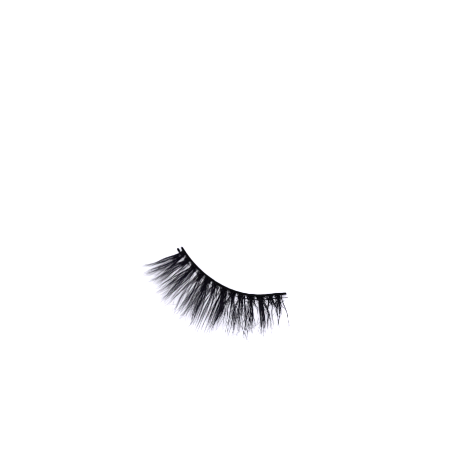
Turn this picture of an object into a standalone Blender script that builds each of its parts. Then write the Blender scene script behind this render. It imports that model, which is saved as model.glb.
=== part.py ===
"""False eyelash strip: a curved cotton band, a thin tie thread beside it, and thirteen
fans of hair knotted round that thread.

The strip lies on a table as it would by itself, on the underside of its band and on the
bellies of its lowest locks, with the tips curling up. Units are metres. The origin is the
middle of the band's underside. +X runs along the band there, towards the inner corner of
the eye, -Y points out along the hair, and +Z is up.
"""

import math
import random
from itertools import product

import bmesh
import bpy
from mathutils import Vector

# Band: a cotton cord pressed flat, longest along the eyelid.
BAND_LENGTH = 0.0340
BAND_THICKNESS = 0.0006
BAND_HEIGHT = 0.0010
BAND_CORNER = 0.00012
BAND_SEGMENTS = 41  # odd, so that a flat facet lies across the middle of the band

# The band's plan from the outer corner to the inner one: arcs joined tangent to tangent.
BAND_ARCS = (
    {"length_share": 0.50, "turn_deg": 34.0},
    {"length_share": 0.36, "turn_deg": 32.5},
    {"length_share": 0.14, "turn_deg": -5.5},
)

# Tie thread: it runs beside the band at half its height, through every knot.
THREAD_DIAMETER = 0.00022
THREAD_OUTER_TAIL = 0.00015  # how far the thread runs past the band's outer end
THREAD_INNER_TAIL = 0.0006
THREAD_SIDES = 8
THREAD_SEGMENTS = 40

# Knots: the root of each fan, looped round the tie thread.
KNOT_GAP = 0.00065  # from one knot to the next
KNOT_OUTER_MARGIN = 0.00135  # from the band's outer end to the middle of the first knot
KNOT_INNER_MARGIN = 0.0021
KNOT_BACK_WALL = 0.00064  # hair between the band and the thread
KNOT_FRONT_WALL = 0.00046  # hair in front of the thread
KNOT_RECESS = 0.00012  # how far a knot stays below the band's top and above its underside
KNOT_ROUNDING = 0.45  # share of a corner cell that is cut off
KNOT_END_SHARE = 0.82  # size of a knot's two ends against its middle
SEAT_GAP = 0.00006  # between a knot and the band that it sits against
THREAD_CLEARANCE = 0.00004  # between the thread and the tunnel through a knot

# Locks: tapered bundles of hair, three rows of three on each knot.
LOCK_LENGTH = 0.0123  # the longest one, along its curve
LOCKS_ACROSS = 3
LOCK_STATIONS = (0.12, 0.26, 0.44, 0.64, 0.83, 1.0)  # shares of a lock's length
LOCK_NARROWING = 0.5  # share of its width that a lock loses evenly along its length
LOCK_POINT = 3  # power that keeps a lock wide before it comes to its point
LOCK_THINNING = 0.7  # power by which a lock grows thin towards its point
LENGTH_JITTER = 0.05
CURL_JITTER_DEG = 4.0
SEED = 7

# Fans: how the locks spread from a knot to fill the space between its neighbours.
SPREAD_DISTANCE = 0.0040  # how far out a fan takes to reach its full width
FAN_FILL = 0.92  # share of its sector that a spread fan covers
SHIFT_SHARE = 0.6  # share of its length over which a row of locks moves sideways
HEADING_STEP = 0.00001  # distance over which a lock's heading is taken

# Rows of locks, lowest first. length_share is against LOCK_LENGTH, flat_share is how much
# of a lock runs out level before it curls, curl_deg is its slope at the tip, and
# shift_share moves the row sideways, as a share of one lock's place in the fan.
ROWS = (
    {"length_share": 1.00, "flat_share": 0.26, "curl_deg": 58.0, "shift_share": 0.00},
    {"length_share": 0.88, "flat_share": 0.12, "curl_deg": 68.0, "shift_share": -0.33},
    {"length_share": 0.70, "flat_share": 0.02, "curl_deg": 76.0, "shift_share": 0.33},
)

# Length of the left, middle and right lock of a fan, against the row's own length.
LOCK_SHARES = (0.90, 1.00, 0.86)

# Fans from the outer corner to the inner one. lean_root and lean_tip are the directions of
# the hair in plan, in degrees from -Y towards +X, and length_share is against LOCK_LENGTH.
FANS = (
    {"lean_root": -38, "lean_tip": -56, "length_share": 0.89},
    {"lean_root": -33, "lean_tip": -35, "length_share": 0.94},
    {"lean_root": -25, "lean_tip": -21, "length_share": 0.95},
    {"lean_root": -16, "lean_tip": -8, "length_share": 0.96},
    {"lean_root": -8, "lean_tip": 0, "length_share": 0.98},
    {"lean_root": -2, "lean_tip": 3, "length_share": 1.00},
    {"lean_root": 4, "lean_tip": 6, "length_share": 0.96},
    {"lean_root": 10, "lean_tip": 10, "length_share": 0.92},
    {"lean_root": 17, "lean_tip": 13, "length_share": 0.87},
    {"lean_root": 25, "lean_tip": 18, "length_share": 0.82},
    {"lean_root": 31, "lean_tip": 22, "length_share": 0.80},
    {"lean_root": 33, "lean_tip": 25, "length_share": 0.79},
    {"lean_root": 32, "lean_tip": 29, "length_share": 0.72},
)

# Corners of a lock's section, in order round it: 0, 1 or 2 for its left edge, middle or
# right edge, and how far each lies above its centre, as a share of its thickness.
LOCK_SECTION = ((0, -0.25), (1, -0.5), (2, -0.25), (2, 0.25), (1, 0.5), (0, 0.25))

# Colours, roughness and metallic value of each material.
MATERIALS = {
    "band_cotton": ((0.012, 0.012, 0.014, 1.0), 0.70, 0.0),
    "thread_black": ((0.020, 0.020, 0.024, 1.0), 0.55, 0.0),
    "lash_hair": ((0.018, 0.016, 0.026, 1.0), 0.38, 0.0),
}

# Sizes that follow from the ones above. Offsets count outwards from the band's centre line.
KNOT_PITCH = (BAND_LENGTH - KNOT_OUTER_MARGIN - KNOT_INNER_MARGIN) / (len(FANS) - 1)
KNOT_WIDTH = KNOT_PITCH - KNOT_GAP
KNOT_COLUMNS = 2 * LOCKS_ACROSS
TUNNEL = THREAD_DIAMETER + 2 * THREAD_CLEARANCE
KNOT_BACK = BAND_THICKNESS / 2 + SEAT_GAP
THREAD_OFFSET = KNOT_BACK + KNOT_BACK_WALL + TUNNEL / 2
THREAD_HEIGHT = BAND_HEIGHT / 2
KNOT_FRONT = THREAD_OFFSET + TUNNEL / 2 + KNOT_FRONT_WALL
KNOT_TOP = BAND_HEIGHT - KNOT_RECESS


def clear_scene():
    for thing in list(bpy.data.objects):
        bpy.data.objects.remove(thing, do_unlink=True)


def mix(a, b, share):
    return a + (b - a) * share


def smooth(share):
    """Rises from 0 to 1 with a soft start and a soft end."""
    share = min(1.0, max(0.0, share))
    return share * share * (3 - 2 * share)


def arc_step(heading, bend, distance):
    """How far an arc of this bend moves in X and Y over a distance, and its new heading."""
    turned = heading + bend * distance
    if math.isclose(turned, heading, abs_tol=1e-9):
        return math.cos(heading) * distance, math.sin(heading) * distance, heading
    along = (math.sin(turned) - math.sin(heading)) / bend
    across = (math.cos(heading) - math.cos(turned)) / bend
    return along, across, turned


def walk_band(distance):
    """Point and heading this far from the band's outer end, in the end's own frame."""
    x = y = heading = 0.0
    for arc in BAND_ARCS:
        length = arc["length_share"] * BAND_LENGTH
        bend = math.radians(arc["turn_deg"]) / length
        step = distance if arc is BAND_ARCS[-1] else min(distance, length)
        along, across, heading = arc_step(heading, bend, step)
        x += along
        y += across
        distance -= step
        if distance <= 0:
            break
    return Vector((x, y)), heading


def band_frame(distance):
    """Centre point and outward normal of the band in plan, with its middle at the origin."""
    middle, middle_heading = walk_band(BAND_LENGTH / 2)
    point, heading = walk_band(distance)
    offset = point - middle
    turn, heading = -middle_heading, heading - middle_heading
    x = offset.x * math.cos(turn) - offset.y * math.sin(turn)
    y = offset.x * math.sin(turn) + offset.y * math.cos(turn)
    return Vector((x, y)), Vector((math.sin(heading), -math.cos(heading)))


def beside_band(distance, outward, height):
    """A point this far along the band, this far out from its centre line."""
    point, normal = band_frame(distance)
    place = point + normal * outward
    return Vector((place.x, place.y, height))


def new_object(name, mesh_data, material, parent):
    """A named object from a bmesh, with outward faces, its material and its parent."""
    bmesh.ops.recalc_face_normals(mesh_data, faces=mesh_data.faces)
    mesh = bpy.data.meshes.new(name)
    mesh_data.to_mesh(mesh)
    mesh_data.free()
    mesh.shade_smooth()
    mesh.set_sharp_from_angle(angle=math.radians(50))
    mesh.materials.append(material)
    made = bpy.data.objects.new(name, mesh)
    bpy.context.scene.collection.objects.link(made)
    made.parent = parent
    return made


def new_material(name):
    colour, roughness, metallic = MATERIALS[name]
    material = bpy.data.materials.new(name)
    material.use_nodes = True
    shader = material.node_tree.nodes["Principled BSDF"]
    shader.inputs["Base Color"].default_value = colour
    shader.inputs["Roughness"].default_value = roughness
    shader.inputs["Metallic"].default_value = metallic
    material.diffuse_color = colour
    return material


def join_rings(bm, first, second):
    """Faces between two rings of as many corners, or from a ring to a single point."""
    for i in range(len(first)):
        j = (i + 1) % len(first)
        if len(second) == 1:
            bm.faces.new((first[i], first[j], second[0]))
        else:
            bm.faces.new((first[i], first[j], second[j], second[i]))


def sweep_along_band(section, start, end, segments):
    """A closed bar whose (outward, height) section follows the band from start to end."""
    bm = bmesh.new()
    rings = []
    for i in range(segments + 1):
        distance = mix(start, end, i / segments)
        rings.append([bm.verts.new(beside_band(distance, n, z)) for n, z in section])
    for first, second in zip(rings, rings[1:]):
        join_rings(bm, first, second)
    bm.faces.new(rings[0])
    bm.faces.new(rings[-1])
    return bm


def band_section():
    """The band's outline across its length: a rectangle with cut corners, on the floor."""
    half, top, cut = BAND_THICKNESS / 2, BAND_HEIGHT, BAND_CORNER
    return (
        (-half + cut, 0),
        (half - cut, 0),
        (half, cut),
        (half, top - cut),
        (half - cut, top),
        (-half + cut, top),
        (-half, top - cut),
        (-half, cut),
    )


def thread_section():
    radius = THREAD_DIAMETER / 2
    angles = [math.tau * (i + 0.5) / THREAD_SIDES for i in range(THREAD_SIDES)]
    return [
        (THREAD_OFFSET + radius * math.cos(a), THREAD_HEIGHT + radius * math.sin(a))
        for a in angles
    ]


def make_band(material, parent):
    bm = sweep_along_band(band_section(), 0, BAND_LENGTH, BAND_SEGMENTS)
    return new_object("lash_band", bm, material, parent)


def make_thread(material, parent):
    start, end = -THREAD_OUTER_TAIL, BAND_LENGTH + THREAD_INNER_TAIL
    bm = sweep_along_band(thread_section(), start, end, THREAD_SEGMENTS)
    return new_object("tie_thread", bm, material, parent)


def knot_centre(index):
    """Distance along the band to the middle of a knot. Halves give the sector borders."""
    return KNOT_OUTER_MARGIN + index * KNOT_PITCH


def knot_is_hair(i, j, k):
    """Whether a cell is hair. A knot is 3 cells deep and 3 high, round the thread's tunnel."""
    inside = 0 <= i < 3 and 0 <= j < KNOT_COLUMNS and 0 <= k < 3
    return inside and (i, k) != (1, 1)


def knot_corner(centre, i, j, k):
    """Corner of a knot's cells: i counts outwards, j along the band and k upwards."""
    outs = (KNOT_BACK, THREAD_OFFSET - TUNNEL / 2, THREAD_OFFSET + TUNNEL / 2, KNOT_FRONT)
    heights = (KNOT_RECESS, THREAD_HEIGHT - TUNNEL / 2, THREAD_HEIGHT + TUNNEL / 2, KNOT_TOP)
    outward, height = outs[i], heights[k]
    back, front, edge = i == 0, i == 3, k in (0, 3)
    if edge and (back or front):
        height = mix(height, heights[1 if k == 0 else 2], KNOT_ROUNDING)
    if edge and back:
        outward = mix(outward, outs[1], KNOT_ROUNDING)
    if j in (0, KNOT_COLUMNS):
        if back:
            outward = mix(THREAD_OFFSET, outward, KNOT_END_SHARE)
        if edge:
            height = mix(THREAD_HEIGHT, height, KNOT_END_SHARE)
    return beside_band(centre + (j / KNOT_COLUMNS - 0.5) * KNOT_WIDTH, outward, height)


def add_cell_face(bm, corners, cell, axis, side):
    """The face of one cell that looks along an axis."""
    first, second = (a for a in range(3) if a != axis)
    face = []
    for step in ((0, 0), (1, 0), (1, 1), (0, 1)):
        corner = list(cell)
        corner[axis] += side
        corner[first] += step[0]
        corner[second] += step[1]
        face.append(corners[tuple(corner)])
    bm.faces.new(face)


def add_knot(bm, centre):
    """The knot's faces, open in front, where its locks start. Returns its corners."""
    corners = {
        (i, j, k): bm.verts.new(knot_corner(centre, i, j, k))
        for i, j, k in product(range(4), range(KNOT_COLUMNS + 1), range(4))
    }
    for cell in product(range(3), range(KNOT_COLUMNS), range(3)):
        for axis, side in product(range(3), (0, 1)):
            beside = list(cell)
            beside[axis] += 2 * side - 1
            in_front = beside[0] == 3
            if knot_is_hair(*cell) and not knot_is_hair(*beside) and not in_front:
                add_cell_face(bm, corners, cell, axis, side)
    return corners


def border_lean(index, key):
    """Lean of the border on a fan's outer side, in radians: the mean of the fans beside it."""
    before = FANS[max(0, index - 1)][key]
    after = FANS[min(len(FANS) - 1, index)][key]
    return math.radians((before + after) / 2)


def border_point(index, reach):
    """Plan point on the border between two fans, this far out from the knots' fronts."""
    point, normal = band_frame(knot_centre(index - 0.5))
    root, tip = border_lean(index, "lean_root"), border_lean(index, "lean_tip")
    along, across, _ = arc_step(root - math.pi / 2, (tip - root) / LOCK_LENGTH, reach)
    return point + normal * KNOT_FRONT + Vector((along, across))


def fan_point(index, place, reach):
    """Plan point in a fan's sector. place runs from 0 to 1 between its two borders."""
    return border_point(index, reach).lerp(border_point(index + 1, reach), place)


def lock_curve(row, length, curl, root_height, thickness):
    """A lock from root to point: share of length, reach, height, slope and thickness."""
    flat = row["flat_share"] * length
    radius = (length - flat) / curl
    for share in LOCK_STATIONS:
        run = share * length
        thick = thickness * (1 - share) ** LOCK_THINNING
        base = root_height
        if row is ROWS[0]:
            base = mix(root_height, thick / 2, smooth(run / flat))
        slope = max(0.0, run - flat) / radius
        reach = min(run, flat) + radius * math.sin(slope)
        yield share, reach, base + radius * (1 - math.cos(slope)), slope, thick


def lock_places(row, across, share, reach):
    """Places in the fan of a lock's left edge, middle and right edge."""
    spread = mix(KNOT_WIDTH / KNOT_PITCH, FAN_FILL, smooth(reach / SPREAD_DISTANCE))
    middle = across + 0.5 + row["shift_share"] * smooth(share / SHIFT_SHARE)
    half = (1 - LOCK_NARROWING * share) * (1 - share**LOCK_POINT) / 2
    edges = (middle - half, middle, middle + half)
    return [0.5 + spread * (edge / LOCKS_ACROSS - 0.5) for edge in edges]


def add_lock(bm, root, index, row, across, length, curl):
    """One lock, from its ring of corners on the knot's front to its point."""
    heights = [corner.co.z for corner in root]
    root_height, thickness = sum(heights) / len(heights), max(heights) - min(heights)
    last = root
    for share, reach, height, slope, thick in lock_curve(
        row, length, curl, root_height, thickness
    ):
        places = lock_places(row, across, share, reach)
        spots = [fan_point(index, place, reach) for place in places]
        ahead = fan_point(index, places[1], reach + HEADING_STEP)
        heading = (ahead - spots[1]).normalized()
        up = Vector((-heading.x * math.sin(slope), -heading.y * math.sin(slope), math.cos(slope)))
        section = LOCK_SECTION if share < 1 else ((1, 0),)
        ring = [
            bm.verts.new(Vector((spots[edge].x, spots[edge].y, height)) + up * rise * thick)
            for edge, rise in section
        ]
        join_rings(bm, last, ring)
        last = ring


def make_fan(index, material, parent):
    """One fan: a knot round the thread, and its rows of locks, as a single body."""
    chance = random.Random(SEED + index)
    bm = bmesh.new()
    corners = add_knot(bm, knot_centre(index))
    for (level, row), across in product(enumerate(ROWS), range(LOCKS_ACROSS)):
        columns = (2 * across, 2 * across + 1, 2 * across + 2)
        root = [corners[3, j, level] for j in columns]
        root += [corners[3, j, level + 1] for j in reversed(columns)]
        length = LOCK_LENGTH * row["length_share"] * LOCK_SHARES[across]
        length *= FANS[index]["length_share"] * (1 + chance.uniform(-1, 1) * LENGTH_JITTER)
        curl = math.radians(row["curl_deg"] + chance.uniform(-1, 1) * CURL_JITTER_DEG)
        add_lock(bm, root, index, row, across, length, curl)
    return new_object(f"lash_fan_{index + 1:02d}", bm, material, parent)


def main():
    clear_scene()
    strip = bpy.data.objects.new("eyelash_strip", None)
    bpy.context.scene.collection.objects.link(strip)
    make_band(new_material("band_cotton"), strip)
    make_thread(new_material("thread_black"), strip)
    hair = new_material("lash_hair")
    for index in range(len(FANS)):
        make_fan(index, hair, strip)


main()
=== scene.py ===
"""Looks of the false eyelash strip: single hairs, the cotton band and the twisted thread.

Units are metres, in the frame of the solids. Distances along the strip count from the
band's outer end, and offsets count outwards from its centre line.
"""

import math

import bpy
import numpy as np
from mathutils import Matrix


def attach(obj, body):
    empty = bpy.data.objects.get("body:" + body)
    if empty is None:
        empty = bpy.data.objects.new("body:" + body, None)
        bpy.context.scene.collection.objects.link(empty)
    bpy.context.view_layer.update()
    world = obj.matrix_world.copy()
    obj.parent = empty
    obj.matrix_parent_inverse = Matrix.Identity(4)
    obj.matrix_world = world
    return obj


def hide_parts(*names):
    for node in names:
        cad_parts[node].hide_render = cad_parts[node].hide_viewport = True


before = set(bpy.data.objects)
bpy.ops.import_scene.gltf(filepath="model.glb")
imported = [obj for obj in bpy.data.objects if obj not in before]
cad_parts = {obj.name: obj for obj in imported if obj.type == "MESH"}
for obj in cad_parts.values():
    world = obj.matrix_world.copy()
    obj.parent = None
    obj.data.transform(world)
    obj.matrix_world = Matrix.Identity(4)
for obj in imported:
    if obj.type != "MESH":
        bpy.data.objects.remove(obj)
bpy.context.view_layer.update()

# Band, as in the solids.
BAND_LENGTH = 0.0340
BAND_THICKNESS = 0.0006
BAND_HEIGHT = 0.0010
BAND_ARCS = (
    {"length_share": 0.50, "turn_deg": 34.0},
    {"length_share": 0.36, "turn_deg": 32.5},
    {"length_share": 0.14, "turn_deg": -5.5},
)

# Band surface: a cord pressed flat, with its plies showing, and glue at the knots.
BAND_STATIONS = 620
BAND_SIDES = 40
BAND_SQUARENESS = 5.0  # power of the rounded section: 2 is an ellipse, more is squarer
BAND_PLIES = 5
PLY_PITCH = 0.0021
PLY_DEPTH = 0.000011
GLUE_SWELLING = 0.00007
GLUE_REACH = 0.00085
BAND_WOBBLE = 0.000012
WOBBLE_POINTS = 60  # places along the band between which its small waves run
FIBRES = 26  # loose cotton fibres at each cut end
FIBRE_LENGTH = 0.0004
FIBRE_RADIUS = 0.000012
FIBRE_SIDES = 4
FIBRE_SINK = 0.00004  # how deep a fibre starts inside the cut end
FIBRE_LOWEST = 0.00004  # height that a fibre never sinks below

# Tie thread.
THREAD_DIAMETER = 0.00022
THREAD_OFFSET = 0.00115
THREAD_OUTER_TAIL = 0.00028
THREAD_INNER_TAIL = 0.0006
THREAD_PLIES = 2
THREAD_PITCH = 0.00075
THREAD_STATIONS = 760
THREAD_SIDES = 8
GLUED_END = 0.0003  # how far in from the band's outer end the thread's glue is whole
GLUED_FADE = 0.0006
GLUE_COAT = 3.4  # thickness of the glue on a ply, against the ply's radius
LOOSENED_START = 0.0004  # how far in from the band's inner end the plies start to open
LOOSENED_FADE = 0.0009

# Knots.
KNOT_GAP = 0.00065
KNOT_OUTER_MARGIN = 0.00135
KNOT_INNER_MARGIN = 0.0021
KNOT_FRONT = 0.00176
KNOT_BOTTOM = 0.00012
KNOT_TOP = 0.00088
KNOT_FLARE = 1.22  # width of the hair where it meets the band, against the knot's
LOOPS = 14  # turns of hair round the thread in each knot
LOOP_OUTWARD = 0.00025
LOOP_UPWARD = 0.00036
LOOP_RADIUS = 0.000045
LOOP_TILT = 0.00006
LOOP_STATIONS = 15

# Hairs. Places across a fan run from 0 to 1 between its two borders.
LOCK_LENGTH = 0.0123
HAIR_RADIUS = 0.000031
HAIR_SIDES = 5
SPREAD_DISTANCE = 0.0030
WAIST_REACH = 0.0001  # how far out from the knots their locks are gathered most
KNOT_SLANT = 0.13  # how far the loose hair slants across its fan inside the knot
ROOT_SINK = 0.00003  # how deep the hairs start inside the band
ROOT_SHIFT = -0.05  # how far the roots sit to the outer side of where their strand runs
ROOT_LIMITS = (-0.1, 1.03)  # places across a knot that the roots keep between
REST_HEIGHTS = (0.00006, 0.00028)  # heights of the lowest row where it lies flat
TIP_LIFT = 0.0001  # mean rise of the tips past their curl
TIP_LIFT_SCATTER = 0.0003
FLOOR_CLEARANCE = 0.00001
LENGTH_LIMIT = 1.18  # the longest hair of a row, against the row's length
ROOT_THICKNESS = 0.85  # share of a hair's full thickness that it has at its root
TIP_THINNING = 0.85  # depth of the taper to the tip
OUTER_EDGE = 0.26  # place across the first fan where its hair starts
SHARP_DEG = 70.0  # edges that turn by more than this are shaded sharp
SEED = 229

# Strands: a few hairs close together, which sway as one.
HAIRS_PER_STRAND = 4
STRAND_SWAY = 0.05
SWAY_TURNS = (0.7, 2.2)  # waves between a strand's root and its tip
LOCK_SCATTER = {"passing": 0.06, "middle": 0.07, "tip": 0.09}
LOCK_LENGTHS = (0.9, 1.05)  # lengths of a lock's strands, against the lock's
LOOSE_SPLAY = (0.9, 1.3)  # width of the loose hair as it leaves the knot, against its roots'
LOOSE_BEND = (0.3, 1.0)  # where a strand is halfway: 0 is straight out, and 1 over its tip
LOOSE_TIP_SCATTER = 0.2
STUBS = 36  # short hairs at the root of each fan
STUB_SPLAY = (0.6, 1.5)
STUB_LENGTHS = (0.07, 0.24)

# Radius of a hair against HAIR_RADIUS, its length against its strand's, and the length of
# a loose strand against its row's.
HAIR_SIZES = {"mean": 1.0, "scatter": 0.18, "limits": (0.6, 1.6)}
HAIR_LENGTHS = {"mean": 1.01, "scatter": 0.09, "limits": (0.65, 1.12)}
LOOSE_LENGTHS = {"mean": 1.07, "scatter": 0.10, "limits": (0.75, 1.20)}

# How far hairs stand off their strand, in places across the fan: most of them, and strays.
STRAY_SHARE = 0.18
HAIR_SCATTER = {
    "root": (0.15, 0.15),
    "passing": (0.03, 0.03),
    "middle": (0.02, 0.20),
    "tip": (0.05, 0.50),
}
HAIR_CURL = 0.012  # height of each hair's own small waves
CURL_TURNS = (0.8, 2.2)

# Distances out from the band's centre line at which a hair has a ring inside its knot, and
# shares of its free length at which it has one outside.
KNOT_STATIONS = (BAND_THICKNESS / 2 - ROOT_SINK, 0.00072, THREAD_OFFSET, 0.00150)
HAIR_STATIONS = (
    0, 0.04, 0.09, 0.15, 0.22, 0.29, 0.37, 0.45,
    0.53, 0.61, 0.69, 0.77, 0.84, 0.9, 0.96, 1,
)

# Rows of hair, lowest first. in_locks and in_loose are the shares of the dark locks and of
# the loose hair that each row holds.
ROWS = (
    {"length_share": 1.00, "flat_share": 0.26, "curl_deg": 58, "in_locks": 0.80, "in_loose": 0.72},
    {"length_share": 0.88, "flat_share": 0.12, "curl_deg": 68, "in_locks": 0.13, "in_loose": 0.17},
    {"length_share": 0.70, "flat_share": 0.02, "curl_deg": 76, "in_locks": 0.07, "in_loose": 0.11},
)

# Fans from the outer corner to the inner one. Leans are as in the solids. loose is the
# number of hairs outside the dark locks, and tips is where they end: 0 and 1 are the
# borders of the fan.
FANS = (
    {"lean_root": -38, "lean_tip": -56, "length_share": 0.89, "loose": 48, "tips": (0.10, 1.20)},
    {"lean_root": -33, "lean_tip": -35, "length_share": 0.94, "loose": 28, "tips": (-0.10, 1.20)},
    {"lean_root": -25, "lean_tip": -21, "length_share": 0.95, "loose": 48, "tips": (-0.20, 1.05)},
    {"lean_root": -16, "lean_tip": -8, "length_share": 0.96, "loose": 20, "tips": (0.00, 1.20)},
    {"lean_root": -8, "lean_tip": 0, "length_share": 0.98, "loose": 40, "tips": (-0.10, 1.10)},
    {"lean_root": -2, "lean_tip": 3, "length_share": 1.00, "loose": 24, "tips": (0.10, 1.30)},
    {"lean_root": 4, "lean_tip": 6, "length_share": 0.96, "loose": 36, "tips": (0.00, 1.15)},
    {"lean_root": 10, "lean_tip": 10, "length_share": 0.92, "loose": 24, "tips": (0.05, 1.30)},
    {"lean_root": 17, "lean_tip": 13, "length_share": 0.87, "loose": 32, "tips": (-0.10, 1.20)},
    {"lean_root": 25, "lean_tip": 18, "length_share": 0.82, "loose": 24, "tips": (-0.10, 0.90)},
    {"lean_root": 31, "lean_tip": 22, "length_share": 0.80, "loose": 30, "tips": (0.15, 1.30)},
    {"lean_root": 33, "lean_tip": 25, "length_share": 0.79, "loose": 6, "tips": (-0.10, 0.80)},
    {"lean_root": 32, "lean_tip": 29, "length_share": 0.72, "loose": 12, "tips": (0.00, 1.00)},
)

# Dark locks: fan, the places across it where the lock leaves the knot, passes halfway and
# ends, its length against the fan's, and its number of hairs.
LOCKS = (
    (1, 0.25, 0.28, 0.35, 0.70, 6),
    (1, 0.30, 0.32, 0.35, 0.22, 16),
    (1, 0.55, 0.60, 0.65, 0.25, 18),
    (1, 0.82, 1.14, 1.75, 1.05, 12),
    (1, 0.95, 1.34, 1.85, 1.05, 6),
    (1, 0.50, 0.50, 0.50, 1.15, 4),
    (1, 0.80, 0.85, 0.80, 1.18, 4),
    (1, 0.98, 1.02, 1.00, 0.28, 8),
    (2, 0.98, 1.05, 1.05, 0.28, 4),
    (2, 0.22, 0.04, 0.10, 0.40, 6),
    (2, 0.35, 0.50, 0.80, 1.00, 12),
    (2, 0.75, 0.95, 1.05, 1.05, 6),
    (3, 0.98, 1.08, 1.10, 0.50, 4),
    (3, 0.45, 0.58, 0.85, 1.12, 20),
    (3, 0.52, 0.60, 0.65, 0.45, 18),
    (3, 0.15, 0.15, 0.35, 0.80, 6),
    (4, 0.98, 1.05, 1.05, 0.25, 4),
    (4, 0.50, 0.90, 1.10, 0.85, 6),
    (4, 0.70, 0.85, 0.85, 1.05, 12),
    (4, 0.35, 0.45, 0.60, 1.08, 12),
    (5, 0.60, 0.84, 1.00, 1.05, 42),
    (5, 0.35, 0.42, 0.60, 0.85, 12),
    (5, 0.55, 0.60, 0.65, 0.25, 12),
    (6, 0.98, 1.02, 1.00, 0.28, 4),
    (6, 0.42, 0.15, 0.05, 0.50, 6),
    (6, 0.65, 1.00, 1.20, 0.75, 6),
    (6, 0.55, 0.70, 0.75, 0.85, 6),
    (7, 0.98, 1.02, 1.05, 0.25, 4),
    (7, 0.52, 0.86, 0.60, 0.92, 40),
    (7, 0.65, 0.90, 0.85, 0.70, 24),
    (7, 0.50, 0.62, 0.70, 0.35, 24),
    (7, 0.85, 1.00, 1.05, 0.80, 6),
    (7, 0.40, 0.30, 0.35, 0.85, 6),
    (8, 0.45, 0.15, 0.15, 0.50, 12),
    (8, 0.70, 0.98, 1.25, 0.80, 12),
    (8, 0.60, 0.65, 0.70, 0.25, 6),
    (9, 0.98, 1.05, 1.12, 0.50, 4),
    (9, 0.70, 0.75, 0.75, 0.42, 18),
    (9, 0.35, 0.48, 0.40, 0.70, 12),
    (9, 0.25, 0.25, 0.35, 0.80, 6),
    (10, 0.98, 1.08, 1.12, 0.40, 4),
    (10, 0.58, 0.60, 0.45, 0.95, 18),
    (10, 0.62, 0.70, 0.72, 0.90, 18),
    (10, 0.50, 0.55, 0.55, 0.25, 12),
    (11, 0.50, 0.48, 0.42, 0.85, 24),
    (11, 0.72, 0.82, 0.78, 0.72, 18),
    (11, 0.60, 0.62, 0.62, 0.38, 28),
    (11, 0.45, 0.50, 0.50, 0.30, 12),
    (12, 0.30, 0.20, 0.22, 0.75, 4),
    (12, 0.75, 1.05, 1.20, 0.30, 12),
    (12, 0.55, 0.58, 0.60, 0.18, 6),
    (13, 0.35, 0.18, 0.10, 0.60, 6),
    (13, 0.45, 0.45, 0.40, 0.48, 24),
    (13, 0.60, 0.62, 0.70, 0.28, 6),
)

# Camera: the photograph's frame, with the places of the band's two ends in it, in pixels.
PHOTO_SIZE = 470
PHOTO_OUTER_END = (181.8, 247.4)
PHOTO_INNER_END = (286.0, 293.6)
LENS_MM = 90.0
SENSOR_MM = 36.0
PIXEL_FILTER = 0.7  # width of the pixels' blur, which sets how crisp single hairs look

# Studio.
SKY_COLOUR = (0.88, 0.86, 1.0, 1.0)
SKY_STRENGTH = 1.3
SOFTBOX_PLACE = (-0.18, 0.22, 0.40)
SOFTBOX_SIZE = 0.4
SOFTBOX_WATTS = 1.6
FLOOR_SIZE = 1.2
FLOOR_HEIGHT = -0.00001

KNOT_PITCH = (BAND_LENGTH - KNOT_OUTER_MARGIN - KNOT_INNER_MARGIN) / (len(FANS) - 1)
KNOT_WIDTH = KNOT_PITCH - KNOT_GAP
THREAD_HEIGHT = BAND_HEIGHT / 2


def mix(a, b, share):
    return a + (b - a) * share


def smooth(share):
    share = np.clip(share, 0.0, 1.0)
    return share * share * (3 - 2 * share)


def unit(vectors):
    return vectors / np.linalg.norm(vectors, axis=-1, keepdims=True)


def scattered(values, count, chance):
    """Random values about a mean, held between two limits."""
    return np.clip(chance.normal(values["mean"], values["scatter"], count), *values["limits"])


def arc_step(heading, bend, distance):
    """How far an arc of this bend moves in X and Y over a distance, and its new heading."""
    turned = heading + bend * distance
    if abs(bend) < 1e-6:
        return np.cos(heading) * distance, np.sin(heading) * distance, turned
    along = (np.sin(turned) - np.sin(heading)) / bend
    across = (np.cos(heading) - np.cos(turned)) / bend
    return along, across, turned


def walk_band(distance):
    """Points and headings this far from the band's outer end, in the end's own frame."""
    left = np.asarray(distance, float)
    x = y = heading = np.zeros_like(left)
    for arc in BAND_ARCS:
        length = arc["length_share"] * BAND_LENGTH
        bend = math.radians(arc["turn_deg"]) / length
        first, last = arc is BAND_ARCS[0], arc is BAND_ARCS[-1]
        step = np.clip(left, None if first else 0.0, None if last else length)
        along, across, heading = arc_step(heading, bend, step)
        x, y, left = x + along, y + across, left - step
    return x, y, heading


def band_frame(distance):
    """Centre points and outward normals of the band in plan, with its middle at the origin."""
    middle_x, middle_y, middle_heading = walk_band(BAND_LENGTH / 2)
    x, y, heading = walk_band(distance)
    x, y, heading = x - middle_x, y - middle_y, heading - middle_heading
    c, s = np.cos(-middle_heading), np.sin(-middle_heading)
    points = np.stack([x * c - y * s, x * s + y * c], -1)
    return points, np.stack([np.sin(heading), -np.cos(heading)], -1)


def knot_centre(index):
    return KNOT_OUTER_MARGIN + index * KNOT_PITCH


def beside_band(distance, outward, height):
    """Points this far along the band, this far out from its centre line, at this height."""
    points, normals = band_frame(distance)
    plan = points + normals * np.asarray(outward, float)[..., None]
    height = np.broadcast_to(height, plan.shape[:-1])
    return np.concatenate([plan, height[..., None]], -1)


def border_points(index, reach):
    """Plan points on the border between two fans, this far out from the knots' fronts."""
    before = FANS[max(0, index - 1)]
    after = FANS[min(len(FANS) - 1, index)]
    root, tip = (math.radians(before[k] + after[k]) / 2 for k in ("lean_root", "lean_tip"))
    point, normal = band_frame(knot_centre(index - 0.5))
    along, across, _ = arc_step(root - math.pi / 2, (tip - root) / LOCK_LENGTH, reach)
    return point + normal * KNOT_FRONT + np.stack([along, across], -1)


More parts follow.
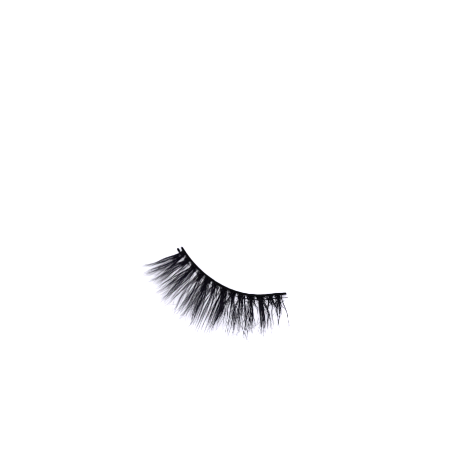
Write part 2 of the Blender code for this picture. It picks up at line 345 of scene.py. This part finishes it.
def fan_points(index, place, reach):
    """Plan points in a fan's sector. place runs from 0 to 1 between its two borders."""
    left, right = border_points(index, reach), border_points(index + 1, reach)
    return left + (right - left) * place[..., None]


class Tubes:
    """Gathers closed tubes into one mesh.

    Each corner keeps its tube's tone, its distance along it and its share of the way round.
    """

    def __init__(self):
        self.points, self.faces = [], []
        self.layers = {"tone": [], "along": [], "around": []}
        self.count = 0

    def add_rings(self, corners, along, tones):
        """corners is (tubes, stations, sides, 3), and along is (tubes, stations)."""
        tubes, stations, sides, _ = corners.shape
        i, j = np.meshgrid(np.arange(stations - 1), np.arange(sides), indexing="ij")
        k = (j + 1) % sides
        lower, upper = i * sides, (i + 1) * sides
        quads = np.stack([upper + j, upper + k, lower + k, lower + j], -1)
        starts = self.count + np.arange(tubes) * stations * sides
        last = (stations - 1) * sides + np.arange(sides)
        self.faces += (starts[:, None, None] + quads.reshape(-1, 4)).reshape(-1, 4).tolist()
        self.faces += (starts[:, None] + np.arange(sides)).tolist()
        self.faces += (starts[:, None] + last[::-1]).tolist()
        self.points.append(corners.reshape(-1, 3))
        self.layers["tone"].append(np.repeat(tones, stations * sides))
        self.layers["along"].append(np.repeat(along.ravel(), sides))
        self.layers["around"].append(np.tile(np.arange(sides) / sides, tubes * stations))
        self.count += tubes * stations * sides

    def add(self, paths, radii, sides, tones):
        """Round tubes: paths is (tubes, stations, 3), and radii is (tubes, stations)."""
        tangent = unit(np.gradient(paths, axis=1))
        side = unit(np.cross(tangent, (0.0, 0.0, 1.0)) + np.array((1e-9, 0.0, 0.0)))
        up = np.cross(side, tangent)
        turn = np.arange(sides) * math.tau / sides
        ring = side[:, :, None] * np.cos(turn)[:, None] + up[:, :, None] * np.sin(turn)[:, None]
        steps = np.linalg.norm(np.diff(paths, axis=1), axis=-1)
        along = np.concatenate([np.zeros((len(paths), 1)), np.cumsum(steps, 1)], 1)
        self.add_rings(paths[:, :, None] + ring * radii[:, :, None, None], along, tones)

    def mesh(self, name):
        """Joins the tubes into one mesh, shaded smooth except round their ends."""
        mesh = bpy.data.meshes.new(name)
        mesh.from_pydata(np.concatenate(self.points).tolist(), [], self.faces)
        for key, parts in self.layers.items():
            layer = mesh.attributes.new(key, "FLOAT", "POINT")
            layer.data.foreach_set("value", np.concatenate(parts).astype(np.float32))
        mesh.shade_smooth()
        mesh.set_sharp_from_angle(angle=math.radians(SHARP_DEG))
        return mesh


def add_piece(name, mesh, material, node):
    """Puts a finished mesh in the scene, in place of a node of the solids."""
    mesh.materials.append(material)
    piece = bpy.data.objects.new(name, mesh)
    bpy.context.scene.collection.objects.link(piece)
    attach(piece, "root")
    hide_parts(node)
    return piece


def lock_strands(lock, chance):
    """Strands of one dark lock, gathered from across the knot."""
    _, start, middle, end, length, hairs = lock
    count = max(1, round(hairs / HAIRS_PER_STRAND))
    passing = start + chance.normal(0, LOCK_SCATTER["passing"], count)
    return {
        "root": mix(chance.random(count), passing, 0.5),
        "passing": passing,
        "middle": middle + chance.normal(0, LOCK_SCATTER["middle"], count),
        "tip": end + chance.normal(0, LOCK_SCATTER["tip"], count),
        "row": chance.choice(len(ROWS), count, p=[row["in_locks"] for row in ROWS]),
        "length": length * chance.uniform(*LOCK_LENGTHS, count),
    }


def loose_strands(fan, chance):
    """Strands spread over a whole fan, which splay from the knot."""
    count = round(fan["loose"] / HAIRS_PER_STRAND)
    order = (np.arange(count) + chance.uniform(0.1, 0.9, count)) / count
    root = mix(order, chance.random(count), 0.25)
    passing = 0.5 + KNOT_SLANT + (root - 0.5) * chance.uniform(*LOOSE_SPLAY, count)
    tip = mix(*fan["tips"], order) + chance.normal(0, LOOSE_TIP_SCATTER, count)
    return {
        "root": root,
        "passing": passing,
        "middle": mix(passing, tip, chance.uniform(*LOOSE_BEND, count)),
        "tip": tip,
        "row": chance.choice(len(ROWS), count, p=[row["in_loose"] for row in ROWS]),
        "length": scattered(LOOSE_LENGTHS, count, chance),
    }


def stub_strands(chance):
    """Short hairs that end close to the knot."""
    count = round(STUBS / HAIRS_PER_STRAND)
    root = chance.uniform(0.02, 0.98, count)
    tip = 0.5 + KNOT_SLANT + (root - 0.5) * chance.uniform(*STUB_SPLAY, count)
    return {
        "root": root,
        "passing": mix(root, tip, 0.5),
        "middle": mix(root, tip, 0.8),
        "tip": tip,
        "row": chance.integers(0, len(ROWS), count),
        "length": chance.uniform(*STUB_LENGTHS, count),
    }


def choose_hairs(index, chance):
    """How each hair of a fan lies, spread a little inside its strand, with some strays."""
    fan = FANS[index]
    groups = [lock_strands(lock, chance) for lock in LOCKS if lock[0] == index + 1]
    groups += [loose_strands(fan, chance), stub_strands(chance)]
    hair = {key: np.concatenate([group[key] for group in groups]) for key in groups[0]}
    strands = len(hair["root"])
    hair["sway"] = chance.normal(0, STRAND_SWAY, strands)
    hair["turns"] = chance.uniform(*SWAY_TURNS, strands)
    hair["phase"] = chance.random(strands)
    hair = {key: np.repeat(values, HAIRS_PER_STRAND) for key, values in hair.items()}
    count = len(hair["root"])
    stray = chance.random(count) < STRAY_SHARE
    for key, (usual, far) in HAIR_SCATTER.items():
        hair[key] = hair[key] + chance.normal(0, np.where(stray, far, usual), count)
    hair["root"] = np.clip(hair["root"] + ROOT_SHIFT, *ROOT_LIMITS)
    if index == 0:
        for key in HAIR_SCATTER:
            hair[key] = np.maximum(hair[key], OUTER_EDGE)
    row_length = np.array([row["length_share"] for row in ROWS])[hair["row"]]
    shares = np.minimum(hair["length"] * scattered(HAIR_LENGTHS, count, chance), LENGTH_LIMIT)
    hair["length"] = shares * row_length * fan["length_share"] * LOCK_LENGTH
    return {key: values[:, None] for key, values in hair.items()}


def place_across(hair, out, full_reach):
    """Place across the fan of each hair, this far out from the band."""
    start, end = BAND_THICKNESS / 2, KNOT_FRONT + WAIST_REACH
    gathered = smooth((out - start) / (end - start))
    free = np.clip((out - THREAD_OFFSET) / (KNOT_FRONT + full_reach - THREAD_OFFSET), 0, 1)
    pull = 2 * hair["middle"] - (hair["passing"] + hair["tip"]) / 2 - hair["passing"]
    bent = 2 * free * (1 - free) * pull + free**2 * (hair["tip"] - hair["passing"])
    return mix(hair["root"], hair["passing"], gathered) + bent


def hair_waves(hair, shares, chance):
    """Sideways waves of each hair: its strand's sway, and small ones of its own."""
    phase = math.tau * hair["phase"]
    sway = np.sin(math.tau * hair["turns"] * shares + phase) - np.sin(phase)
    turns = chance.uniform(*CURL_TURNS, phase.shape)
    curl = np.sin(math.tau * (turns * shares + chance.random(phase.shape)))
    curl_size = chance.normal(0, HAIR_CURL, phase.shape)
    return hair["sway"] * sway * smooth(shares / 0.4) + curl_size * curl * smooth(shares / 0.25)


def knot_paths(hair, index, root_height, full_reach):
    """The hairs inside their knot, where they run from the band over or under the thread."""
    out = np.array(KNOT_STATIONS)
    narrowed = smooth((out - out[0]) / (THREAD_OFFSET - out[0]))
    width = KNOT_WIDTH * mix(KNOT_FLARE, 1.0, narrowed)
    distance = knot_centre(index) + (place_across(hair, out, full_reach) - 0.5) * width
    lift = root_height - THREAD_HEIGHT
    clear = THREAD_DIAMETER / 2 + HAIR_RADIUS
    over = np.where(lift < 0, -1.0, 1.0) * np.maximum(abs(lift), clear)
    lifts = np.concatenate([lift * 0.9, mix(lift, over, 0.5), over, mix(lift, over, 0.4)], -1)
    return beside_band(distance, np.broadcast_to(out, distance.shape), THREAD_HEIGHT + lifts)


def hair_paths(hair, index, chance):
    """Centre lines of a fan's hairs, from the band through the knot to their tips."""
    row, length = hair["row"], hair["length"]
    shape = length.shape
    flat = np.array([r["flat_share"] for r in ROWS])[row] * length
    curl = np.radians([r["curl_deg"] for r in ROWS])[row] * chance.normal(1, 0.10, shape)
    radius = (length - flat) / curl
    shares = np.array(HAIR_STATIONS)
    run = shares * length
    slope = np.maximum(0.0, run - flat) / radius
    reach = np.minimum(run, flat) + radius * np.sin(slope)

    depth = (KNOT_TOP - KNOT_BOTTOM) / len(ROWS)
    root_height = KNOT_BOTTOM + (row + chance.random(shape)) * depth
    rest = chance.uniform(*REST_HEIGHTS, shape)
    sink = np.where(row == 0, smooth(run / flat), 0)
    height = mix(root_height, rest, sink) + radius * (1 - np.cos(slope))
    height = height + chance.normal(TIP_LIFT, TIP_LIFT_SCATTER, shape) * smooth(shares / 0.9)

    full_reach = reach[:, -1:]
    place = place_across(hair, KNOT_FRONT + reach, full_reach)
    place = place + hair_waves(hair, shares, chance)
    spread = mix(KNOT_WIDTH / KNOT_PITCH, 1.0, smooth(reach / SPREAD_DISTANCE))
    plan = fan_points(index, 0.5 + spread * (place - 0.5), reach)
    free = np.concatenate([plan, height[..., None]], -1)
    return np.concatenate([knot_paths(hair, index, root_height, full_reach), free], 1)


def hair_radii(shape, chance):
    """Radius of each hair along its length: even at first, then tapering to a fine tip."""
    count, stations = shape
    shares = np.append(np.zeros(stations - len(HAIR_STATIONS)), HAIR_STATIONS)
    thickness = mix(ROOT_THICKNESS, 1.0, smooth(shares / 0.3))
    taper = 1 - TIP_THINNING * smooth((shares - 0.5) / 0.6)
    size = HAIR_RADIUS * scattered(HAIR_SIZES, count, chance)
    return size[:, None] * thickness * taper


def knot_loops(index, chance):
    """Turns of hair round the thread, side by side across a knot, open towards the band."""
    places = (np.arange(LOOPS) + 0.5 + chance.uniform(-0.25, 0.25, LOOPS)) / LOOPS
    centre = knot_centre(index) + (places - 0.5) * KNOT_WIDTH
    turn = np.linspace(-math.pi * 0.9, math.pi * 0.9, LOOP_STATIONS)
    tilt = chance.normal(0, LOOP_TILT, LOOPS)[:, None]
    size = chance.uniform(0.9, 1.08, LOOPS)[:, None]
    return beside_band(
        centre[:, None] + tilt * np.sin(turn),
        THREAD_OFFSET + LOOP_OUTWARD * size * np.cos(turn),
        THREAD_HEIGHT + LOOP_UPWARD * size * np.sin(turn),
    )


def make_fan(index, material):
    """One fan: its hairs, and the turns of hair that tie them to the thread."""
    chance = np.random.default_rng(SEED + index)
    tubes = Tubes()
    paths = hair_paths(choose_hairs(index, chance), index, chance)
    radii = hair_radii(paths.shape[:2], chance)
    paths[..., 2] = np.maximum(paths[..., 2], radii + FLOOR_CLEARANCE)
    tubes.add(paths, radii, HAIR_SIDES, chance.random(len(paths)))
    loops = knot_loops(index, chance)
    tubes.add(loops, np.full(loops.shape[:2], LOOP_RADIUS), HAIR_SIDES, chance.random(LOOPS))
    name = f"lash_fan_{index + 1:02d}"
    return add_piece(f"hair_{name}", tubes.mesh(name), material, name)


def band_surface(chance):
    """Corners of the band, (stations, sides, 3): round edges, plies, glue and small waves."""
    distance = np.linspace(0, BAND_LENGTH, BAND_STATIONS)[:, None]
    turn = np.arange(BAND_SIDES) * math.tau / BAND_SIDES
    c, s, power = np.cos(turn), np.sin(turn), BAND_SQUARENESS
    size = (abs(c) ** power + abs(s) ** power) ** (-1 / power)
    out, rise = c * size, s * size
    ply = PLY_DEPTH * np.cos(BAND_PLIES * turn - math.tau * distance / PLY_PITCH)
    knots = knot_centre(np.arange(len(FANS)))
    glue = np.exp(-(((distance - knots) / GLUE_REACH) ** 4)).sum(-1, keepdims=True)
    outer_side = np.clip(out, 0, 1) ** 2 * (1 - abs(rise) ** 4)
    wobble_places = np.linspace(0, BAND_LENGTH, WOBBLE_POINTS)
    wobble = np.interp(distance, wobble_places, chance.normal(0, 1, WOBBLE_POINTS))
    half, tall = BAND_THICKNESS / 2, BAND_HEIGHT / 2
    outward = out * (half - PLY_DEPTH + ply) + GLUE_SWELLING * glue * outer_side
    outward = outward + BAND_WOBBLE * wobble
    height = np.maximum(0.0, tall + rise * (tall - PLY_DEPTH + ply))
    return beside_band(np.broadcast_to(distance, outward.shape), outward, height)


def cut_fibres(chance):
    """Centre lines of the cotton fibres that stick out of the band's two cut ends."""
    shares = np.linspace(0, 1, 6)
    count = 2 * FIBRES
    end = np.repeat((0.0, BAND_LENGTH), FIBRES)[:, None]
    forward = np.sign(end - BAND_LENGTH / 2)
    length = FIBRE_LENGTH * chance.uniform(0.2, 1.0, (count, 1))
    outward = chance.uniform(-0.4, 0.4, (count, 1)) * BAND_THICKNESS
    rise = chance.uniform(-0.4, 0.4, (count, 1)) * BAND_HEIGHT
    splay = chance.normal(0, 0.5, (2, count, 1)) * length * shares**2
    distance = end + forward * (shares * length - FIBRE_SINK)
    height = np.maximum(FIBRE_LOWEST, BAND_HEIGHT / 2 + rise + splay[1])
    return beside_band(distance, outward + splay[0], height)


def make_band(material):
    """The band: a cotton cord pressed flat, with frayed ends."""
    chance = np.random.default_rng(SEED + 100)
    tubes = Tubes()
    along = np.linspace(0, BAND_LENGTH, BAND_STATIONS)
    tubes.add_rings(band_surface(chance)[None], along[None], np.array([0.5]))
    fibres = cut_fibres(chance)
    radii = FIBRE_RADIUS * np.linspace(1, 0.4, fibres.shape[1]) * np.ones(fibres.shape[:2])
    tubes.add(fibres, radii, FIBRE_SIDES, chance.random(len(fibres)))
    return add_piece("cotton_band", tubes.mesh("lash_band"), material, "lash_band")


def make_thread(material):
    """The tie thread: plies twisted together, glued at the outer end and loose at the inner."""
    tubes = Tubes()
    distance = np.linspace(-THREAD_OUTER_TAIL, BAND_LENGTH + THREAD_INNER_TAIL, THREAD_STATIONS)
    coated = 1 - smooth((distance - GLUED_END) / GLUED_FADE)
    loose = smooth((distance - BAND_LENGTH + LOOSENED_START) / LOOSENED_FADE)
    apart = THREAD_DIAMETER / 4 * (1 + 0.5 * coated + loose)
    radii = THREAD_DIAMETER / 4 * (1 + GLUE_COAT * coated - 0.35 * loose)
    for ply in range(THREAD_PLIES):
        turn = math.tau * (distance / THREAD_PITCH + ply / THREAD_PLIES)
        path = beside_band(
            distance,
            THREAD_OFFSET + apart * np.cos(turn),
            THREAD_HEIGHT + apart * np.sin(turn),
        )
        tubes.add(path[None], radii[None], THREAD_SIDES, np.array([0.3 * ply]))
    mesh = tubes.mesh("tie_thread")
    return add_piece("twisted_thread", mesh, material, "tie_thread")


class Shading:
    """One material, with plain settings on its shader and nodes for what varies."""

    def __init__(self, name, colour, roughness, specular, tint=(1.0, 1.0, 1.0)):
        self.material = bpy.data.materials.new(name)
        self.material.use_nodes = True
        self.tree = self.material.node_tree
        self.shader = self.tree.nodes["Principled BSDF"]
        self.put("Base Color", (*colour, 1.0))
        self.put("Roughness", roughness)
        self.put("Specular IOR Level", specular)
        self.put("Specular Tint", (*tint, 1.0))

    def put(self, socket, value, node=None):
        """Sets a socket to a value, or links it to another node's result."""
        socket = (node or self.shader).inputs[socket]
        if isinstance(value, bpy.types.NodeSocket):
            self.tree.links.new(value, socket)
        else:
            socket.default_value = value

    def node(self, kind, inputs, result=0, **settings):
        """Adds a node with these inputs and settings, and gives one of its results."""
        node = self.tree.nodes.new(f"ShaderNode{kind}")
        for key, value in settings.items():
            setattr(node, key, value)
        for key, value in inputs.items():
            self.put(key, value, node)
        return node.outputs[result]

    def attribute(self, name):
        return self.node("Attribute", {}, "Fac", attribute_name=name)

    def sum(self, a, b):
        return self.node("Math", {0: a, 1: b}, operation="ADD")

    def times(self, a, b):
        return self.node("Math", {0: a, 1: b}, operation="MULTIPLY")

    def noise(self, x, y, z, detail=3.0):
        """Noise over three coordinates, each already scaled to its own grain."""
        place = self.node("CombineXYZ", {"X": x, "Y": y, "Z": z})
        return self.node("TexNoise", {"Vector": place, "Scale": 1.0, "Detail": detail})

    def remap(self, value, source, target):
        """Takes a value from one range to another."""
        limits = dict(zip(("From Min", "From Max", "To Min", "To Max"), (*source, *target)))
        return self.node("MapRange", {"Value": value, **limits})

    def shade(self, dark, light, share, brightness):
        """Colour between two, and then brighter or darker."""
        colours = {0: share, 6: (*dark, 1.0), 7: (*light, 1.0)}  # factor, colour A, colour B
        mixed = self.node("Mix", colours, 2, data_type="RGBA")
        scaled = self.node("VectorMath", {0: mixed, "Scale": brightness}, operation="SCALE")
        self.put("Base Color", scaled)

    def bump(self, height, strength, distance):
        inputs = {"Height": height, "Strength": strength, "Distance": distance}
        self.put("Normal", self.node("Bump", inputs))


def hair_material():
    """Fine black hair: each has its own tone, with painted shade that darkens it towards the root,
    where the hairs crowd into the knot, and a violet sheen.
    """
    sheen = (0.82, 0.78, 1.0)
    hair = Shading("lash_hair_black", (0.008, 0.007, 0.012), roughness=0.42, specular=0.09, tint=sheen)
    tone, along, around = (hair.attribute(key) for key in ("tone", "along", "around"))
    grain = hair.noise(hair.times(along, 900.0), hair.times(tone, 50.0), hair.times(around, 3.0))
    # painted shade: the base colour is darkened towards the root, where the hairs crowd together in
    # the knot
    root = hair.remap(along, (0.0005, 0.0045), (0.1, 1.0))
    streak = hair.remap(grain, (0.3, 0.7), (0.6, 1.4))
    hair.shade((0.0012, 0.0012, 0.0018), (0.013, 0.011, 0.021), tone, hair.times(root, streak))
    hair.put("Roughness", hair.remap(grain, (0.2, 0.8), (0.34, 0.54)))
    hair.bump(grain, 0.25, 0.000004)
    return hair.material


def band_material():
    """Cotton cord pressed flat in black size: plies and fibres show through a satin coat."""
    band = Shading("cotton_sized_black", (0.004, 0.004, 0.005), roughness=0.5, specular=0.03)
    along, around = band.attribute("along"), band.attribute("around")
    twist = band.sum(band.times(around, BAND_PLIES), band.times(along, -1 / PLY_PITCH))
    fibres = band.noise(band.times(along, 1500.0), band.times(twist, 9.0), 0.0, detail=4.0)
    coat = band.noise(band.times(along, 420.0), band.times(around, 4.0), 7.0)
    share = band.remap(fibres, (0.35, 0.7), (0.0, 1.0))
    brightness = band.remap(coat, (0.2, 0.8), (0.6, 1.3))
    band.shade((0.0007, 0.0007, 0.0008), (0.0035, 0.0034, 0.004), share, brightness)
    band.put("Roughness", band.remap(coat, (0.3, 0.7), (0.38, 0.66)))
    band.bump(band.sum(fibres, band.times(coat, 0.5)), 0.5, 0.00001)
    return band.material


def thread_material():
    """Matte twisted cotton: black with glue at its outer end, and dustier along the rest."""
    thread = Shading("cotton_thread_black", (0.02, 0.02, 0.024), roughness=0.75, specular=0.08)
    tone, along, around = (thread.attribute(key) for key in ("tone", "along", "around"))
    twist = thread.sum(around, thread.times(along, 1 / THREAD_PITCH))
    grain = (thread.times(along, 2200.0), thread.times(twist, 7.0), thread.times(tone, 30.0))
    fibres = thread.noise(*grain, detail=4.0)
    glued = thread.remap(along, (0.0006, 0.0014), (0.12, 1.0))
    share = thread.remap(fibres, (0.35, 0.7), (0.0, 1.0))
    thread.shade((0.006, 0.006, 0.007), (0.035, 0.034, 0.040), share, glued)
    thread.put("Roughness", thread.remap(fibres, (0.3, 0.7), (0.62, 0.85)))
    thread.bump(fibres, 0.6, 0.00001)
    return thread.material


def floor_material():
    """Matte white board, with a faint even grain."""
    floor = Shading("board_white", (0.86, 0.86, 0.87), roughness=0.6, specular=0.2)
    place = floor.node("TexCoord", {}, "Object")
    grain = floor.node("TexNoise", {"Vector": place, "Scale": 900.0, "Detail": 3.0})
    floor.shade((0.85, 0.85, 0.86), (0.87, 0.87, 0.88), grain, 1.0)
    floor.put("Roughness", floor.remap(grain, (0.2, 0.8), (0.5, 0.7)))
    return floor.material


def make_floor():
    half = FLOOR_SIZE / 2
    corners = [(-half, -half, 0), (half, -half, 0), (half, half, 0), (-half, half, 0)]
    mesh = bpy.data.meshes.new("floor")
    mesh.from_pydata(corners, [], [(0, 1, 2, 3)])
    mesh.materials.append(floor_material())
    floor = bpy.data.objects.new("floor", mesh)
    floor.location.z = FLOOR_HEIGHT
    bpy.context.scene.collection.objects.link(floor)


def make_lights():
    """Soft light from all round, and a softbox that looks at the strip from one side."""
    world = bpy.data.worlds.new("soft_white")
    world.use_nodes = True
    background = world.node_tree.nodes["Background"]
    background.inputs["Color"].default_value = SKY_COLOUR
    background.inputs["Strength"].default_value = SKY_STRENGTH
    bpy.context.scene.world = world
    lamp = bpy.data.lights.new("softbox", "AREA")
    lamp.size = SOFTBOX_SIZE
    lamp.energy = SOFTBOX_WATTS
    box = bpy.data.objects.new("softbox", lamp)
    box.location = SOFTBOX_PLACE
    box.rotation_euler = (-box.location).to_track_quat("-Z", "Y").to_euler()
    bpy.context.scene.collection.objects.link(box)


def make_camera():
    """Looks straight down, turned and placed so that the band's ends meet their pixels."""
    (start, end), _ = band_frame(np.array([0.0, BAND_LENGTH]))
    pixels = np.subtract(PHOTO_INNER_END, PHOTO_OUTER_END)
    metres_per_pixel = np.linalg.norm(end - start) / np.linalg.norm(pixels)
    roll = math.atan2(*(end - start)[::-1]) + math.atan2(*pixels[::-1])
    right = np.array((math.cos(roll), math.sin(roll)))
    up = np.array((-math.sin(roll), math.cos(roll)))
    to_middle = PHOTO_SIZE / 2 - np.array(PHOTO_OUTER_END)
    middle = start + metres_per_pixel * (to_middle[0] * right - to_middle[1] * up)
    lens = bpy.data.cameras.new("camera")
    lens.lens, lens.sensor_width = LENS_MM, SENSOR_MM
    lens.clip_start, lens.clip_end = 0.01, 5.0
    camera = bpy.data.objects.new("camera", lens)
    distance = PHOTO_SIZE * metres_per_pixel * LENS_MM / SENSOR_MM
    camera.location = (*middle, THREAD_HEIGHT + distance)
    camera.rotation_euler = (0, 0, roll)
    bpy.context.scene.collection.objects.link(camera)
    bpy.context.scene.camera = camera


make_camera()
make_floor()
make_lights()
bpy.context.scene.view_settings.view_transform = "Standard"
bpy.context.scene.cycles.filter_width = PIXEL_FILTER
make_band(band_material())
make_thread(thread_material())
black_hair = hair_material()
for number in range(len(FANS)):
    make_fan(number, black_hair)
